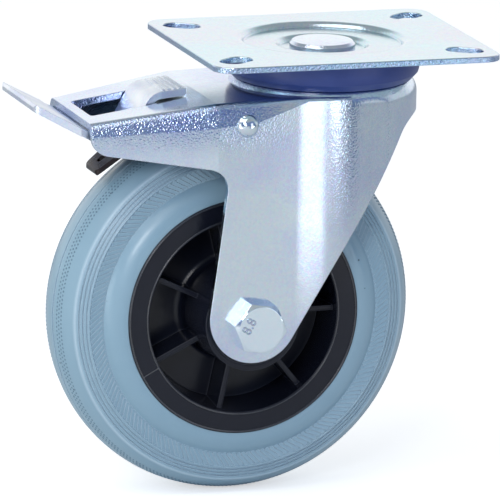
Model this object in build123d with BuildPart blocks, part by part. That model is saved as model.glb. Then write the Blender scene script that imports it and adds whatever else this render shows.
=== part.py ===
"""Swivel castor with a 125 mm rubber-tyred wheel, a top plate and a foot-operated wheel brake.

Units are millimetres.  The origin is the centre of the top plate's mounting face, on the
swivel axis.  +Z points up, +X runs along the plate's long side, and the wheel trails on -X
under the brake canopy.
"""
import os
from math import asin, atan2, cos, degrees, hypot, pi, radians, sin, sqrt, tan

from build123d import *

# ------------------------------------------------------------------ driving dimensions
# Whole castor
wheel_diameter = 125.0
wheel_headroom = 14.26          # crown's underside to the top of the tyre
swivel_offset = 32.0            # swivel axis to axle, horizontally

# Clearances and fits
race_clearance = 0.05           # ball or roller to its track, per side
pin_clearance = 0.05            # pin to its hole, per side
moving_gap = 0.4                # between pieces that pass each other
seat_gap = 0.1                  # loose seat of a piece that is clamped later
seal_gap = 0.6                  # dust seal to the crown, measured upright

# Top plate, pressed from sheet
plate_length = 100.0
plate_width = 85.0
plate_thickness = 2.0
plate_corner_radius = 7.0
hole_spacing_x = 80.0
hole_spacing_y = 60.0
slot_width = 8.5
slot_travel = 4.4               # between the two end centres of a slot
recess_radius = 27.4
recess_depth = 1.7
hub_recess_radius = 15.2
hub_recess_depth = 1.5
press_wall_angle = 60.0         # slope of the pressed steps
press_inner_round = 0.4         # inside of each pressed bend; the outside adds the sheet
punched_edge_round = 0.4        # roll-over left by the punch on the upper edges

# Kingpin
kingpin_head_radius = 11.1
kingpin_head_height = 2.5
kingpin_head_bevel = 0.9
kingpin_radius = 8.0
kingpin_tail_radius = 6.5
rivet_head_radius = 9.5
rivet_head_height = 2.2

# Swivel bearing
upper_ball_diameter = 7.94
upper_ball_count = 16
upper_pitch_radius = 22.0
upper_groove_depth = 0.5
lower_ball_diameter = 6.35
lower_ball_count = 13
lower_pitch_radius = 15.0
lower_groove_depth = 0.4
lower_race_thickness = 2.2
lower_race_radius = 21.0
lower_race_lip_height = 4.2
lower_race_lip_thickness = 1.6

# Dust seal ring
seal_radius = 32.9
seal_wall = 4.0
seal_skirt_height = 4.8         # straight part of the outer wall
seal_foot_radius = 30.4

# Fork, pressed from sheet
fork_thickness = 2.5
fork_half_width = 32.0
crown_round = 6.5
crown_hole_radius = 11.0
leg_end_radius = 15.3
leg_end_rise = 2.4              # centre of the leg's end above the axle
leg_end_shift = 0.6             # and behind it
leg_root_reach = 41.7           # swivel axis to where the rear edge meets the canopy's lip
leg_shoulder_x = 19.6           # point that the front edge passes, near the crown
leg_shoulder_drop = 29.7
skirt_drop = 12.5               # height of the crown's front skirt
skirt_fillet = 12.0
canopy_reach = 87.7             # swivel axis to the canopy's end
canopy_end_half_width = 24.8
canopy_end_drop = 21.0          # mounting face to the canopy's end
canopy_root_x = 46.0            # where the canopy starts to taper
canopy_root_drop = 14.9
canopy_band_height = 4.2        # sloped band between the top and each side, at the end
canopy_band_run = 1.6
side_band_height = 7.5          # the same band along the straight sides
side_band_run = 2.6
canopy_crease_round = 3.0       # outside of the bend between the top and the band
canopy_side_height = 9.75       # side wall at the canopy's end
canopy_lip_slope = 8.3          # fall of the side wall's lower edge, degrees
canopy_corner_radius = 6.0
leg_root_fillet = 7.0

# Window in the canopy
window_end_margin = 3.3         # bar left between the window and the canopy's end
window_length = 22.9
window_half_width = 12.2
window_corner_radius = 1.5

# Wheel
tyre_crown_half_width = 13.4    # where the crowned tread meets the side
tyre_crown_drop = 5.1
tyre_side_half_width = 15.4
tyre_side_share = 0.565         # foot of the ringed band, as a share of the tyre's height
tyre_band_half_width = 15.0     # hatched band, slightly sunk
tyre_band_share = 0.34          # foot of the hatched band, likewise
tyre_bulge_half_width = 18.3
tyre_bulge_radius = 9.0
tread_groove_offset = 3.6
tread_groove_width = 0.9
tread_groove_depth = 0.7
side_groove_count = 3
side_groove_pitch = 1.3
side_groove_width = 0.5
side_groove_depth = 0.35
rim_radius = 40.2
rim_half_width = 18.5
rim_bed_depth = 2.0
rim_flange_width = 3.0
rim_mouth_radius = 33.0
rim_wall_draft = 6.0
rim_bowl_round = 6.0
web_half_thickness = 2.5
hub_radius = 17.0
hub_draft = 1.5
hub_fillet = 2.5
hub_end_gap = 1.0               # between the hub and each fork leg
rib_count = 7
rib_thickness = 1.7
rib_half_height = 15.0
rib_root = 1.0                  # rib sunk into hub and rim
rib_start_angle = 1.0

# Axle and roller bearing
bolt_radius = 5.0
bolt_length = 80.0              # under the head
bolt_across_flats = 16.0
bolt_head_height = 6.4
bolt_head_turn = 8.0            # hexagon's turn on the axle
thread_chamfer = 1.0
nut_body_height = 8.0
nut_collar_height = 2.4
washer_radius = 10.0
washer_thickness = 2.0
sleeve_radius = 7.5
roller_radius = 2.0
roller_count = 9
cage_wall_gap = 0.35            # cage to sleeve and to hub
cage_end_land = 3.5             # ring left beyond each end of a roller
hub_cap_radius = 14.4
hub_cap_thickness = 1.6

# Brake pedal, bent from sheet: foot plate, knee, riser, hood and ridged tongue
pedal_thickness = 2.4
pedal_slope = 28.1              # foot plate, degrees down towards the wheel
pedal_reach = 106.3             # swivel axis to the foot plate's outer edge
pedal_end_half_width = 19.8
pedal_wing_half_width = 24.2
pedal_wing_x = -91.2            # where the wide wings stop, short of the canopy
pedal_corner_radius = 3.0
knee_radius = 2.6               # bends are measured on the sheet's middle
hood_radius = 5.2
hood_bearing = 124.5            # direction of the hood's contact from the window's edge, degrees
riser_half_width = 11.5
neck_length = 8.0               # foot plate's full width inside the canopy
neck_taper = 8.0
tongue_slope = 6.0
tongue_length = 9.0
tongue_half_width = 10.5
ridge_count = 4
ridge_pitch = 1.9
ridge_width = 1.0
ridge_height = 0.5
pivot_gap = 0.35                # pedal to the edge that it rocks on and to the leaf

# Brake leaf, spring steel
leaf_thickness = 1.6
leaf_tyre_gap = 4.8             # leaf to the tyre's crown, brake off
leaf_arc_end = 38.0             # degrees round the axle from the upright
leaf_tail_length = 8.5
leaf_root_half_width = 16.0
leaf_end_half_width = 6.3
leaf_end_round = 2.0
leaf_slot_length = 5.5
leaf_slot_width = 3.6
leaf_slot_margin = 3.6

# Cross pin that carries the leaf
brake_pin_trail = 4.0           # behind the axle
brake_pin_radius = 3.0
brake_pin_head_radius = 3.9
brake_pin_head_height = 2.3

# ------------------------------------------------------------------ derived places
wheel_radius = wheel_diameter / 2
upper_ball_radius = upper_ball_diameter / 2
lower_ball_radius = lower_ball_diameter / 2
upper_track_radius = upper_ball_radius + race_clearance
lower_track_radius = lower_ball_radius + race_clearance
plate_race_z = -plate_thickness - recess_depth
upper_ball_z = plate_race_z + upper_groove_depth - upper_track_radius
crown_top_z = upper_ball_z - upper_track_radius + upper_groove_depth
crown_underside_z = crown_top_z - fork_thickness
total_height = wheel_diameter + wheel_headroom - crown_underside_z
axle_x = -swivel_offset
axle_z = wheel_radius - total_height
axle_point = (axle_x, 0, axle_z)
axle_axis = Axis(axle_point, (0, 1, 0))
wheel_section = Plane(origin=axle_point, x_dir=(0, 1, 0), z_dir=(1, 0, 0))
lower_ball_z = crown_underside_z + lower_groove_depth - lower_track_radius
lower_race_z = lower_ball_z - lower_track_radius + lower_groove_depth
kingpin_seat_z = -recess_depth - hub_recess_depth

leg_inner_y = fork_half_width - fork_thickness
hub_half_length = leg_inner_y - hub_end_gap
roller_pitch_radius = sleeve_radius + race_clearance + roller_radius
hub_bore_radius = roller_pitch_radius + roller_radius + race_clearance

canopy_end_x = -canopy_reach
leaf_radius = wheel_radius + leaf_tyre_gap + leaf_thickness / 2
brake_pin_x = axle_x - brake_pin_trail
brake_pin_z = axle_z + sqrt(leaf_radius**2 - brake_pin_trail**2)

os.makedirs("parts", exist_ok=True)


def canopy_top(x):
    """Height of the canopy's upper face at x, between its root and its end."""
    share = (-x - canopy_root_x) / (canopy_reach - canopy_root_x)
    return -canopy_root_drop - share * (canopy_end_drop - canopy_root_drop)


def save(builder, name):
    """Label a finished piece and write it under its node name."""
    builder.part.label = name
    export_step(builder.part, f"parts/{name}.step")


# ------------------------------------------------------------------ top plate
# One sheet with a stepped round recess pressed into it; the recess floor is the upper track.
slot_angle = degrees(atan2(hole_spacing_y, hole_spacing_x))
wall_run = 1 / tan(radians(press_wall_angle))
half_bend = tan(radians(press_wall_angle / 2))
bend_shift = plate_thickness * half_bend
press_outer_round = press_inner_round + plate_thickness
recess_rim = recess_radius + press_outer_round * half_bend + seat_gap
recess_foot = recess_radius - recess_depth * wall_run
hub_recess_foot = hub_recess_radius - hub_recess_depth * wall_run
outer_bends = [
    (recess_radius, 0),
    (hub_recess_radius, -recess_depth),
    (recess_foot + bend_shift, plate_race_z),
    (hub_recess_foot + bend_shift, kingpin_seat_z - plate_thickness),
]
inner_bends = [
    (recess_foot, -recess_depth),
    (hub_recess_foot, kingpin_seat_z),
    (recess_radius + bend_shift, -plate_thickness),
    (hub_recess_radius + bend_shift, plate_race_z),
]

with BuildPart() as top_plate:
    with BuildSketch():
        RectangleRounded(plate_length, plate_width, plate_corner_radius)
        for side_x in (-1, 1):
            for side_y in (-1, 1):
                with Locations((side_x * hole_spacing_x / 2, side_y * hole_spacing_y / 2)):
                    SlotCenterToCenter(
                        slot_travel, slot_width, rotation=side_x * side_y * slot_angle, mode=Mode.SUBTRACT
                    )
    extrude(amount=-plate_thickness)
    fillet(top_plate.faces().sort_by(Axis.Z)[-1].edges(), punched_edge_round)
    Hole(recess_rim)
    with BuildSketch(Plane.XZ) as recess_section:
        Polygon(
            (recess_rim, 0),
            outer_bends[0],
            inner_bends[0],
            outer_bends[1],
            inner_bends[1],
            (kingpin_radius + seat_gap, kingpin_seat_z),
            (kingpin_radius + seat_gap, kingpin_seat_z - plate_thickness),
            outer_bends[3],
            inner_bends[3],
            outer_bends[2],
            inner_bends[2],
            (recess_rim, -plate_thickness),
            align=None,
        )
        for bends, bend_round in ((outer_bends, press_outer_round), (inner_bends, press_inner_round)):
            for bend in bends:
                fillet(recess_section.vertices().sort_by_distance((*bend, 0))[0], bend_round)
    revolve(axis=Axis.Z)
    with BuildSketch(Plane.XZ):
        with Locations((upper_pitch_radius, upper_ball_z)):
            Circle(upper_track_radius)
    revolve(axis=Axis.Z, mode=Mode.SUBTRACT)
save(top_plate, "top_plate")

# ------------------------------------------------------------------ kingpin
# Cold-headed rivet: flat head on the plate, shoulder for the lower race, tail closed over it.
with BuildPart() as kingpin:
    with BuildSketch(Plane.XZ):
        with BuildLine():
            Polyline(
                (0, kingpin_seat_z + kingpin_head_height),
                (kingpin_head_radius - kingpin_head_bevel, kingpin_seat_z + kingpin_head_height),
                (kingpin_head_radius, kingpin_seat_z + kingpin_head_height - kingpin_head_bevel),
                (kingpin_head_radius, kingpin_seat_z),
                (kingpin_radius, kingpin_seat_z),
                (kingpin_radius, lower_race_z),
                (kingpin_tail_radius, lower_race_z),
                (kingpin_tail_radius, lower_race_z - lower_race_thickness),
                (rivet_head_radius, lower_race_z - lower_race_thickness),
                (rivet_head_radius - rivet_head_height / 2, lower_race_z - lower_race_thickness - rivet_head_height),
                (0, lower_race_z - lower_race_thickness - rivet_head_height),
                close=True,
            )
        make_face()
    revolve(axis=Axis.Z)
save(kingpin, "kingpin")

# ------------------------------------------------------------------ lower race
# Turned-up cup that holds the lower balls against the underside of the crown.
with BuildPart() as lower_race:
    with BuildSketch(Plane.XZ):
        Polygon(
            (kingpin_tail_radius + seat_gap, lower_race_z),
            (lower_race_radius - lower_race_lip_thickness, lower_race_z),
            (lower_race_radius - lower_race_lip_thickness, lower_race_z + lower_race_lip_height),
            (lower_race_radius, lower_race_z + lower_race_lip_height),
            (lower_race_radius, lower_race_z - lower_race_thickness / 2),
            (lower_race_radius - lower_race_thickness / 2, lower_race_z - lower_race_thickness),
            (kingpin_tail_radius + seat_gap, lower_race_z - lower_race_thickness),
            align=None,
        )
    revolve(axis=Axis.Z)
    with BuildSketch(Plane.XZ):
        with Locations((lower_pitch_radius, lower_ball_z)):
            Circle(lower_track_radius)
    revolve(axis=Axis.Z, mode=Mode.SUBTRACT)
save(lower_race, "lower_race")

# ------------------------------------------------------------------ dust seal
# Moulded ring pushed over the plate's recess; its foot runs just above the crown's shoulder.
seal_inner_radius = seal_radius - seal_wall
crown_flat_radius = fork_half_width - crown_round


def crown_shoulder(radius):
    """Height of the crown's upper face at a radius on its rounded rim."""
    run = max(radius - crown_flat_radius, 0)
    return crown_top_z - crown_round + sqrt(crown_round**2 - run**2)


with BuildPart() as dust_seal:
    with BuildSketch(Plane.XZ):
        with BuildLine():
            outer_wall = Line(
                (seal_radius, -plate_thickness), (seal_radius, -plate_thickness - seal_skirt_height)
            )
            foot_corner = (seal_foot_radius, crown_shoulder(seal_foot_radius) + seal_gap)
            taper = JernArc(outer_wall @ 1, outer_wall % 1, 12, -16)
            Polyline(
                taper @ 1,
                foot_corner,
                (seal_inner_radius, crown_shoulder(seal_inner_radius) + seal_gap),
                (seal_inner_radius, -plate_thickness),
                outer_wall @ 0,
            )
        make_face()
    revolve(axis=Axis.Z)
save(dust_seal, "dust_seal")

# ------------------------------------------------------------------ swivel balls
with BuildPart() as upper_balls:
    with Locations((0, 0, upper_ball_z)):
        with PolarLocations(upper_pitch_radius, upper_ball_count):
            Sphere(upper_ball_radius)
save(upper_balls, "upper_balls")

with BuildPart() as lower_balls:
    with Locations((0, 0, lower_ball_z)):
        with PolarLocations(lower_pitch_radius, lower_ball_count):
            Sphere(lower_ball_radius)
save(lower_balls, "lower_balls")

# ------------------------------------------------------------------ swivel fork
# One pressing: round crown, two legs and the brake canopy with its window.
# Stations of the canopy and shoulders: x, half width, top, height and run of the sloped band,
# and the round between them.
stations = [
    (canopy_end_x, canopy_end_half_width, -canopy_end_drop, canopy_band_height, canopy_band_run, canopy_crease_round),
    (-canopy_root_x, fork_half_width, -canopy_root_drop, side_band_height, side_band_run, canopy_crease_round),
    (axle_x + 0.5, fork_half_width, 0.5 - canopy_root_drop, side_band_height - 1.2, side_band_run, canopy_crease_round),
    (axle_x + 17, fork_half_width, 1 - canopy_root_drop, 0.7, 0.8, 0.3),
    (0.0, fork_half_width, 1 - canopy_root_drop, 0.8, 0.8, 0.3),
]
fork_bottom_z = axle_z + leg_end_rise - leg_end_radius


def fork_body(inset):
    """Closed body of the fork's outer faces, or of its hollow where inset is the sheet."""
    bottom_z = fork_bottom_z - 5
    overshoot = 1.0 if inset else 0.0
    with BuildPart() as body:
        for x, half_width, top_z, band_height, band_run, crease_round in stations:
            x_cut = x - overshoot if x == canopy_end_x else x
            side = half_width - inset
            with BuildSketch(Plane.YZ.offset(x_cut)) as station:
                Polygon(
                    (-side, bottom_z),
                    (side, bottom_z),
                    (side, top_z - band_height),
                    (side - band_run, top_z - inset),
                    (band_run - side, top_z - inset),
                    (-side, top_z - band_height),
                    align=None,
                )
                if not inset:
                    fillet(station.vertices().group_by(Axis.Y)[-1], crease_round)
        loft(ruled=True)
        with BuildSketch(Plane.XZ):
            with BuildLine():
                rim = CenterArc(
                    (crown_flat_radius, crown_top_z - crown_round), crown_round - inset, 0, 90
                )
                Polyline(rim @ 1, (0, crown_top_z - inset), (0, bottom_z), (fork_half_width - inset, bottom_z), rim @ 0)
            make_face()
        revolve(axis=Axis.Z)
    return body.part


def touch_point(point, centre, radius, side):
    """Where the line from a point touches a circle, to the left (1) or right (-1) of its centre."""
    run_x, run_z = centre[0] - point[0], centre[1] - point[1]
    reach = sqrt(run_x**2 + run_z**2 - radius**2)
    turn = atan2(run_z, run_x) + side * atan2(radius, reach)
    return (point[0] + reach * cos(turn), point[1] + reach * sin(turn))


def side_outline():
    """Outline of the fork seen along the axle, as one face on the XZ plane."""
    end_centre = (axle_x - leg_end_shift, axle_z + leg_end_rise)
    shoulder = (leg_shoulder_x, -leg_shoulder_drop)
    skirt_z = crown_top_z - skirt_drop
    lip_start = (canopy_end_x, -canopy_end_drop - canopy_side_height)
    lip_fall = tan(radians(canopy_lip_slope))
    root_corner = (-leg_root_reach, lip_start[1] - (canopy_reach - leg_root_reach) * lip_fall)
    rear_touch = touch_point(root_corner, end_centre, leg_end_radius, -1)
    front_touch = touch_point(shoulder, end_centre, leg_end_radius, 1)
    front_run = (shoulder[0] - front_touch[0]) / (shoulder[1] - front_touch[1])
    skirt_corner = (shoulder[0] + (skirt_z - shoulder[1]) * front_run, skirt_z)
    front_x = fork_half_width + 1
    with BuildSketch(Plane.XZ) as outline:
        with BuildLine():
            Polyline(
                (canopy_end_x, 0),
                lip_start,
                root_corner,
                rear_touch,
                end_centre,
                front_touch,
                skirt_corner,
                (front_x, skirt_z),
                (front_x, 0),
                close=True,
            )
        make_face()
        for corner, corner_round in (
            (lip_start, canopy_corner_radius),
            (root_corner, leg_root_fillet),
            (skirt_corner, skirt_fillet),
        ):
            fillet(outline.vertices().sort_by_distance((*corner, 0))[0], corner_round)
        with Locations(end_centre):
            Circle(leg_end_radius)
    return outline.sketch


fork_outer = fork_body(0)
fork_hollow = fork_body(fork_thickness)
fork_side = side_outline()
window_end_x = canopy_end_x + window_end_margin

with BuildPart() as swivel_fork:
    add(fork_outer)
    add(fork_hollow, mode=Mode.SUBTRACT)
    extrude(fork_side, amount=fork_half_width + 1, both=True, mode=Mode.INTERSECT)
    # crown hole and ball tracks
    Hole(crown_hole_radius)
    with BuildSketch(Plane.XZ):
        with Locations((upper_pitch_radius, upper_ball_z)):
            Circle(upper_track_radius)
        with Locations((lower_pitch_radius, lower_ball_z)):
            Circle(lower_track_radius)
    revolve(axis=Axis.Z, mode=Mode.SUBTRACT)
    # window for the pedal's tongue
    with BuildSketch(Plane.XY.offset(-canopy_root_drop + 1)):
        with Locations((window_end_x + window_length / 2, 0)):
            RectangleRounded(window_length, 2 * window_half_width, window_corner_radius)
    extrude(amount=-(canopy_end_drop - canopy_root_drop + fork_thickness + 2), mode=Mode.SUBTRACT)
    # holes for the axle bolt and the brake's cross pin
    with BuildSketch(Plane.XZ):
        with Locations((axle_x, axle_z)):
            Circle(bolt_radius + seat_gap)
        with Locations((brake_pin_x, brake_pin_z)):
            Circle(brake_pin_radius + pin_clearance)
    extrude(amount=fork_half_width + 1, both=True, mode=Mode.SUBTRACT)
save(swivel_fork, "swivel_fork")

# ------------------------------------------------------------------ axle bolt
# The bolt clamps the two legs on the sleeve, with its head on the -Y leg.
axle_side = Plane(origin=axle_point, x_dir=(1, 0, 0), z_dir=(0, 0, 1))
bolt_corner_radius = bolt_across_flats / 2 / cos(pi / 6)
bolt_face_radius = 0.475 * bolt_across_flats
hex_bevel = (bolt_corner_radius - bolt_face_radius) * tan(pi / 6)


def axle_station(y):
    """Plane square to the axle at height y, facing +Y."""
    return Plane(origin=(axle_x, y, axle_z), x_dir=(1, 0, 0), z_dir=(0, 1, 0))


head_face_y = -fork_half_width - bolt_head_height
with BuildPart() as axle_bolt:
    with BuildSketch(axle_station(head_face_y)):
        RegularPolygon(bolt_across_flats / 2, 6, major_radius=False, rotation=bolt_head_turn)
    extrude(amount=bolt_head_height)
    with BuildSketch(axle_side):
        Polygon(
            (bolt_face_radius, head_face_y),
            (bolt_corner_radius, head_face_y),
            (bolt_corner_radius, head_face_y + hex_bevel),
            align=None,
        )
    revolve(axis=axle_axis, mode=Mode.SUBTRACT)
    with BuildSketch(axle_station(-fork_half_width)):
        Circle(bolt_radius)
    extrude(amount=bolt_length)
    chamfer(axle_bolt.faces().sort_by(Axis.Y)[-1].edges(), thread_chamfer)
save(axle_bolt, "axle_bolt")

with BuildPart() as axle_washer:
    with BuildSketch(axle_station(fork_half_width)):
        Circle(washer_radius)
        Circle(bolt_radius + seat_gap, mode=Mode.SUBTRACT)
    extrude(amount=washer_thickness)
save(axle_washer, "axle_washer")

# Lock nut: hexagon body with a round collar that holds its nylon ring
nut_seat_y = fork_half_width + washer_thickness
with BuildPart() as axle_nut:
    with BuildSketch(axle_station(nut_seat_y)):
        RegularPolygon(bolt_across_flats / 2, 6, major_radius=False)
    extrude(amount=nut_body_height)
    with BuildSketch(axle_side):
        Polygon(
            (bolt_face_radius, nut_seat_y + nut_body_height),
            (bolt_corner_radius, nut_seat_y + nut_body_height),
            (bolt_corner_radius, nut_seat_y + nut_body_height - hex_bevel),
            align=None,
        )
    revolve(axis=axle_axis, mode=Mode.SUBTRACT)
    with BuildSketch(axle_station(nut_seat_y + nut_body_height)):
        Circle(bolt_face_radius)
    extrude(amount=nut_collar_height)
    fillet(axle_nut.faces().sort_by(Axis.Y)[-1].edges(), nut_collar_height / 2)
    with BuildSketch(axle_station(nut_seat_y)):
        Circle(bolt_radius)
    extrude(amount=nut_body_height + nut_collar_height, mode=Mode.SUBTRACT)
save(axle_nut, "axle_nut")

# Sleeve between the legs: it takes the clamp load and is the rollers' inner track
with BuildPart() as axle_sleeve:
    with BuildSketch(axle_station(-leg_inner_y)):
        Circle(sleeve_radius)
        Circle(bolt_radius + seat_gap, mode=Mode.SUBTRACT)
    extrude(amount=2 * leg_inner_y)
save(axle_sleeve, "axle_sleeve")

# ------------------------------------------------------------------ roller bearing
cap_inner_y = hub_half_length - hub_cap_thickness
cage_half_length = cap_inner_y - moving_gap
roller_half_length = cage_half_length - cage_end_land

with BuildPart() as bearing_cage:
    with BuildSketch(axle_station(-cage_half_length)):
        Circle(hub_bore_radius - cage_wall_gap)
        Circle(sleeve_radius + cage_wall_gap, mode=Mode.SUBTRACT)
    extrude(amount=2 * cage_half_length)
    with BuildSketch(axle_station(-roller_half_length - pin_clearance)):
        with PolarLocations(roller_pitch_radius, roller_count):
            Rectangle(4 * roller_radius, 2 * (roller_radius + pin_clearance))
    extrude(amount=2 * (roller_half_length + pin_clearance), mode=Mode.SUBTRACT)
save(bearing_cage, "bearing_cage")

with BuildPart() as bearing_rollers:
    with BuildSketch(axle_station(-roller_half_length)):
        with PolarLocations(roller_pitch_radius, roller_count):
            Circle(roller_radius)
    extrude(amount=2 * roller_half_length)
save(bearing_rollers, "bearing_rollers")

# ------------------------------------------------------------------ wheel centre
# Moulded rim, dished web, hub and ribs.  One half is drawn in the (Y, radius) plane and mirrored.
bed_radius = rim_radius - rim_bed_depth
bed_half_width = rim_half_width - rim_flange_width
bowl_floor_radius = rim_mouth_radius - (rim_half_width - web_half_thickness) * tan(radians(rim_wall_draft))
hub_end_radius = hub_radius - (hub_half_length - web_half_thickness) * tan(radians(hub_draft))

with BuildPart() as wheel_rim:
    with BuildSketch(wheel_section):
        with BuildLine():
            Polyline(
                (0, hub_bore_radius),
                (cap_inner_y, hub_bore_radius),
                (cap_inner_y, hub_cap_radius),
                (hub_half_length, hub_cap_radius),
                (hub_half_length, hub_end_radius),
                (web_half_thickness, hub_radius),
                (web_half_thickness, bowl_floor_radius),
                (rim_half_width, rim_mouth_radius),
                (rim_half_width, rim_radius),
                (bed_half_width, rim_radius),
                (bed_half_width, bed_radius),
                (0, bed_radius),
                close=True,
            )
        rim_half = make_face()
        fillet(rim_half.vertices().sort_by_distance((web_half_thickness, hub_radius, 0))[0], hub_fillet)
        fillet(rim_half.vertices().sort_by_distance((web_half_thickness, bowl_floor_radius, 0))[0], rim_bowl_round)
    revolve(axis=axle_axis)
    with BuildSketch(axle_station(0)):
        with PolarLocations((hub_radius + rim_mouth_radius) / 2, rib_count, start_angle=-rib_start_angle):
            Rectangle(rim_mouth_radius - hub_radius + 2 * rib_root, rib_thickness)
    extrude(amount=rib_half_height)
    mirror(about=Plane.XZ)
save(wheel_rim, "wheel_rim")

# Thread guards that close the ends of the hub and keep the cage in
for cap_name, cap_side in (("hub_cap_near", -1), ("hub_cap_far", 1)):
    with BuildPart() as hub_cap:
        with BuildSketch(axle_station(cap_side * hub_half_length)):
            Circle(hub_cap_radius)
            Circle(sleeve_radius + cage_wall_gap, mode=Mode.SUBTRACT)
        extrude(amount=-cap_side * hub_cap_thickness)
    save(hub_cap, cap_name)

# ------------------------------------------------------------------ tyre
# Rubber tyre on the rim's bed: bulged foot, sunk band, ringed band and crowned tread.
crown_run = tyre_crown_half_width
crown_arc_radius = (crown_run**2 + tyre_crown_drop**2) / (2 * tyre_crown_drop)
tyre_height = wheel_radius - rim_radius
band_radius = rim_radius + tyre_band_share * tyre_height
side_radius = rim_radius + tyre_side_share * tyre_height
crown_corner = (tyre_crown_half_width, wheel_radius - tyre_crown_drop)
side_corner = (tyre_side_half_width, side_radius)
side_slope = atan2(side_corner[0] - crown_corner[0], crown_corner[1] - side_corner[1])

with BuildPart() as tyre:
    with BuildSketch(wheel_section):
        with BuildLine():
            crown = RadiusArc((0, wheel_radius), crown_corner, crown_arc_radius)
            Polyline(
                crown_corner,
                side_corner,
                (tyre_band_half_width, side_radius - (tyre_side_half_width - tyre_band_half_width)),
                (tyre_band_half_width, band_radius),
            )
            RadiusArc((tyre_band_half_width, band_radius), (tyre_bulge_half_width, rim_radius), tyre_bulge_radius)
            Polyline(
                (tyre_bulge_half_width, rim_radius),
                (bed_half_width, rim_radius),
                (bed_half_width, bed_radius),
                (0, bed_radius),
                (0, wheel_radius),
            )
        make_face()
        with Locations((tread_groove_offset, wheel_radius)):
            Rectangle(tread_groove_width, 2 * tread_groove_depth, mode=Mode.SUBTRACT)
        for index in range(side_groove_count):
            share = (index + 0.7) * side_groove_pitch
            with Locations(
                Location(
                    (
                        side_corner[0] - share * sin(side_slope),
                        side_corner[1] + share * cos(side_slope),
                        0,
                    ),
                    (0, 0, degrees(side_slope)),
                )
            ):
                Rectangle(2 * side_groove_depth, side_groove_width, mode=Mode.SUBTRACT)
    revolve(axis=axle_axis)
    mirror(about=Plane.XZ)
save(tyre, "tyre")

# ------------------------------------------------------------------ cross pin
pin_side = Plane(origin=(brake_pin_x, 0, brake_pin_z), x_dir=(1, 0, 0), z_dir=(0, 0, 1))
pin_end_y = fork_half_width + brake_pin_head_height
brake_pin_dome_radius = (brake_pin_head_radius**2 + brake_pin_head_height**2) / (2 * brake_pin_head_height)

with BuildPart() as brake_pin:
    with BuildSketch(pin_side):
        with BuildLine():
            near_dome = RadiusArc((brake_pin_head_radius, -fork_half_width), (0, -pin_end_y), brake_pin_dome_radius)
            far_dome = RadiusArc((0, pin_end_y), (brake_pin_head_radius, fork_half_width), brake_pin_dome_radius)
            Polyline(
                near_dome @ 0,
                (brake_pin_radius, -fork_half_width),
                (brake_pin_radius, fork_half_width),
                far_dome @ 1,
            )
            Line(near_dome @ 1, far_dome @ 0)
        make_face()
    revolve(axis=Axis((brake_pin_x, 0, brake_pin_z), (0, 1, 0)))
save(brake_pin, "brake_pin")

# ------------------------------------------------------------------ brake pedal
# The sheet passes through the window and rocks on the window's inner edge.  Pressing the foot
# plate swings the knee down on the leaf; pressing the tongue lifts it again.


def polar(centre, radius, angle):
    """Point at a radius and an angle in degrees from a centre."""
    return (centre[0] + radius * cos(radians(angle)), centre[1] + radius * sin(radians(angle)))


half_sheet = pedal_thickness / 2
pivot_x = window_end_x + window_length
pivot = (pivot_x, canopy_top(pivot_x))
hood_centre = polar(pivot, hood_radius - half_sheet - pivot_gap, hood_bearing - 180)
tongue_start = polar(hood_centre, hood_radius, tongue_slope + 90)
tongue_end = polar(tongue_start, tongue_length, tongue_slope)
foot_drop = (pivot_gap + half_sheet) / cos(radians(pedal_slope))
foot_fall = tan(radians(pedal_slope))
foot_start = (
    -pedal_reach,
    -canopy_end_drop - fork_thickness - foot_drop + (pedal_reach - canopy_reach) * foot_fall,
)
# The knee's bend rests just above the leaf: its centre lies on a circle round the axle and on
# a line above the foot plate.
knee_orbit = leaf_radius + leaf_thickness / 2 + pivot_gap + half_sheet + knee_radius
knee_line = polar(foot_start, knee_radius, 90 - pedal_slope)
along_x, along_z = cos(radians(pedal_slope)), -sin(radians(pedal_slope))
offset_x, offset_z = knee_line[0] - axle_x, knee_line[1] - axle_z
nearing = offset_x * along_x + offset_z * along_z
knee_run = -nearing - sqrt(nearing**2 - offset_x**2 - offset_z**2 + knee_orbit**2)
knee_centre = (knee_line[0] + knee_run * along_x, knee_line[1] + knee_run * along_z)
riser_span = hypot(hood_centre[0] - knee_centre[0], hood_centre[1] - knee_centre[1])
riser_angle = degrees(
    atan2(hood_centre[1] - knee_centre[1], hood_centre[0] - knee_centre[0])
    + asin((knee_radius + hood_radius) / riser_span)
)
neck_half_width = canopy_end_half_width - fork_thickness - canopy_band_run - moving_gap
neck_end_x = canopy_end_x + neck_length
tongue_plane = Plane(
    origin=(tongue_end[0], 0, tongue_end[1]),
    x_dir=(-cos(radians(tongue_slope)), 0, -sin(radians(tongue_slope))),
    z_dir=(-sin(radians(tongue_slope)), 0, cos(radians(tongue_slope))),
)
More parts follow.
